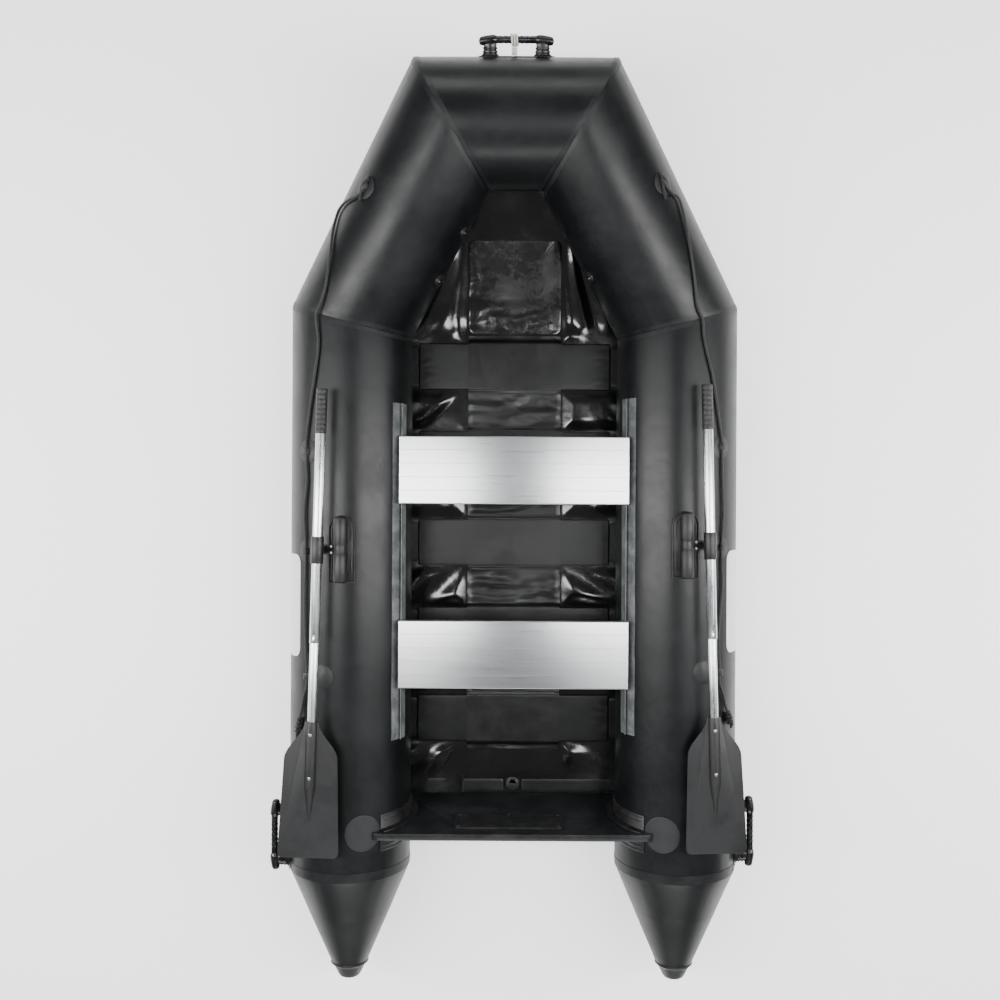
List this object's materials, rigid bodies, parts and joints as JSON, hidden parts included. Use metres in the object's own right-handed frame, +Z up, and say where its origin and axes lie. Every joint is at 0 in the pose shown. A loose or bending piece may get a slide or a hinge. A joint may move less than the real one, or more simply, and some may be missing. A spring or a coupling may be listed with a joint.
{
  "type": "inflatable dinghy",
  "caption": "Inflatable dinghy with rigid transom, tapered tails, slatted floor, sliding aluminium benches, stowed oars in turning oarlocks, grab lines and carrying handles.",
  "frame": {"origin": "on the ground, under the middle of the overall length and beam", "axes": "+X to starboard, +Y to the bow, +Z up"},
  "size_m": [1.6448, 3.118, 0.6111],
  "materials": {
    "tube_fabric": "satin black coated fabric",
    "seam_tape": "satin",
    "moulded_cap": "satin",
    "baffle_fabric": "matt",
    "floor_fabric": "glossy",
    "slat": "plywood in a charcoal skin, satin",
    "strap_fabric": "satin",
    "patch_fabric": "matt blue-grey",
    "rail_fabric": "crinkled grey",
    "transom_board": "plywood, painted dark grey, satin",
    "holder_rubber": "satin",
    "motor_plate": "satin",
    "steel": "bright",
    "drain_plastic": "gloss",
    "bench_aluminium": "brushed across",
    "bench_shoe": "matt",
    "handle_plastic": "gloss",
    "white_cord": "braided",
    "oarlock_rubber": "satin",
    "oar_grip": "ribbed, matt",
    "oar_tube": "satin drawn",
    "collar_plastic": "satin",
    "blade_plastic": "matt charcoal",
    "black_rope": "braided",
    "valve_plastic": "satin",
    "guide_rubber": "satin",
    "label": "plain, smooth"
  },
  "bodies": {
    "hull": {"port_side_tube": "tube_fabric", "starboard_side_tube": "tube_fabric", "port_bow_tube": "tube_fabric", "starboard_bow_tube": "tube_fabric", "front_tube": "tube_fabric", "port_tail_cone": "tube_fabric", "starboard_tail_cone": "tube_fabric", "tail_caps": "moulded_cap", "seam_tapes": "seam_tape", "air_baffles": "baffle_fabric", "bottom_skin": "floor_fabric", "floor_slats": "slat", "floor_strap": "strap_fabric", "patches": "patch_fabric", "seat_rails": "rail_fabric", "transom_board": "transom_board", "transom_holders": "holder_rubber", "inner_motor_plate": "motor_plate", "outer_motor_plate": "motor_plate", "motor_plate_screws": "steel", "drain_housing": "drain_plastic", "bow_handle": "handle_plastic", "port_stern_handle": "handle_plastic", "starboard_stern_handle": "handle_plastic", "bow_lashing": "white_cord", "port_oarlock_base": "oarlock_rubber", "starboard_oarlock_base": "oarlock_rubber", "oarlock_axles": "steel", "valve_bodies": "valve_plastic", "rope_guides": "guide_rubber", "port_grab_line": "black_rope", "starboard_grab_line": "black_rope", "side_labels": "label"},
    "front_bench": {"front_bench": "bench_aluminium", "front_bench_shoes": "bench_shoe"},
    "rear_bench": {"rear_bench": "bench_aluminium", "rear_bench_shoes": "bench_shoe"},
    "port_block": {"port_block": "oarlock_rubber"},
    "port_collar": {"port_collar": "collar_plastic"},
    "port_oar": {"port_grip": "oar_grip", "port_upper_shaft": "oar_tube", "port_lower_shaft": "oar_tube", "port_blade": "blade_plastic", "port_rivets": "steel"},
    "port_snap_button": {"port_snap_button": "steel"},
    "starboard_block": {"starboard_block": "oarlock_rubber"},
    "starboard_collar": {"starboard_collar": "collar_plastic"},
    "starboard_oar": {"starboard_grip": "oar_grip", "starboard_upper_shaft": "oar_tube", "starboard_lower_shaft": "oar_tube", "starboard_blade": "blade_plastic", "starboard_rivets": "steel"},
    "starboard_snap_button": {"starboard_snap_button": "steel"},
    "bow_valve_cap": {"bow_valve_cap": "valve_plastic"},
    "bow_valve_plunger": {"bow_valve_plunger": "valve_plastic"},
    "port_valve_cap": {"port_valve_cap": "valve_plastic"},
    "port_valve_plunger": {"port_valve_plunger": "valve_plastic"},
    "starboard_valve_cap": {"starboard_valve_cap": "valve_plastic"},
    "starboard_valve_plunger": {"starboard_valve_plunger": "valve_plastic"},
    "drain_plug": {"drain_plug": "drain_plastic"}
  },
  "joints": [
    {"name": "front_bench_slide", "type": "slide", "parent": "hull", "child": "front_bench", "axis": [0, 1, 0], "range_m": [-0.15, 0.12]},
    {"name": "rear_bench_slide", "type": "slide", "parent": "hull", "child": "rear_bench", "axis": [0, 1, 0], "range_m": [-0.16, 0.2]},
    {"name": "port_oar_lift", "type": "hinge", "parent": "hull", "child": "port_block", "pos_m": [-0.558, -0.081, 0.444], "axis": [0, 1, 0], "range_deg": [0, 35]},
    {"name": "port_oar_swing", "type": "hinge", "parent": "port_block", "child": "port_collar", "pos_m": [-0.61085, -0.081, 0.42265], "axis": [0.3746, 0, -0.9272], "range_deg": [0, 118]},
    {"name": "port_oar_feather", "type": "hinge", "parent": "port_collar", "child": "port_oar", "pos_m": [-0.62808, -0.081, 0.4653], "axis": [-0.0275, -0.9996, -0.0111], "range_deg": [0, 60]},
    {"name": "port_button_press", "type": "slide", "parent": "port_oar", "child": "port_snap_button", "axis": [0.0002, 0.0111, -0.9999], "range_m": [0, 0.003], "stiffness_N_per_m": 600, "springref_m": -0.003},
    {"name": "starboard_oar_lift", "type": "hinge", "parent": "hull", "child": "starboard_block", "pos_m": [0.558, -0.061, 0.444], "axis": [0, -1, 0], "range_deg": [0, 35]},
    {"name": "starboard_oar_swing", "type": "hinge", "parent": "starboard_block", "child": "starboard_collar", "pos_m": [0.61085, -0.061, 0.42265], "axis": [0.3746, 0, 0.9272], "range_deg": [0, 118]},
    {"name": "starboard_oar_feather", "type": "hinge", "parent": "starboard_collar", "child": "starboard_oar", "pos_m": [0.62808, -0.061, 0.4653], "axis": [-0.0275, 0.9996, 0.0111], "range_deg": [0, 60]},
    {"name": "starboard_button_press", "type": "slide", "parent": "starboard_oar", "child": "starboard_snap_button", "axis": [-0.0002, 0.0111, -0.9999], "range_m": [0, 0.003], "stiffness_N_per_m": 600, "springref_m": -0.003},
    {"name": "bow_valve_cap_turn", "type": "hinge", "parent": "hull", "child": "bow_valve_cap", "pos_m": [-0.16945, 0.96345, 0.36758], "axis": [0.8234, -0.5371, 0.1831], "range_deg": [0, 90]},
    {"name": "bow_valve_press", "type": "slide", "parent": "hull", "child": "bow_valve_plunger", "axis": [-0.8234, 0.5371, -0.1831], "range_m": [0, 0.003], "stiffness_N_per_m": 800, "springref_m": -0.003},
    {"name": "port_valve_cap_turn", "type": "hinge", "parent": "hull", "child": "port_valve_cap", "pos_m": [-0.25572, 0.81449, 0.31849], "axis": [0.8234, -0.5371, 0.1831], "range_deg": [0, 90]},
    {"name": "port_valve_press", "type": "slide", "parent": "hull", "child": "port_valve_plunger", "axis": [-0.8234, 0.5371, -0.1831], "range_m": [0, 0.003], "stiffness_N_per_m": 800, "springref_m": -0.003},
    {"name": "starboard_valve_cap_turn", "type": "hinge", "parent": "hull", "child": "starboard_valve_cap", "pos_m": [0.24849, 0.82697, 0.32261], "axis": [-0.8234, -0.5371, 0.1831], "range_deg": [0, 90]},
    {"name": "starboard_valve_press", "type": "slide", "parent": "hull", "child": "starboard_valve_plunger", "axis": [0.8234, 0.5371, -0.1831], "range_m": [0, 0.003], "stiffness_N_per_m": 800, "springref_m": -0.003},
    {"name": "drain_plug_turn", "type": "hinge", "parent": "hull", "child": "drain_plug", "pos_m": [0, -0.944, 0.04], "axis": [0, 0, 1], "range_deg": [0, 90]}
  ]
}
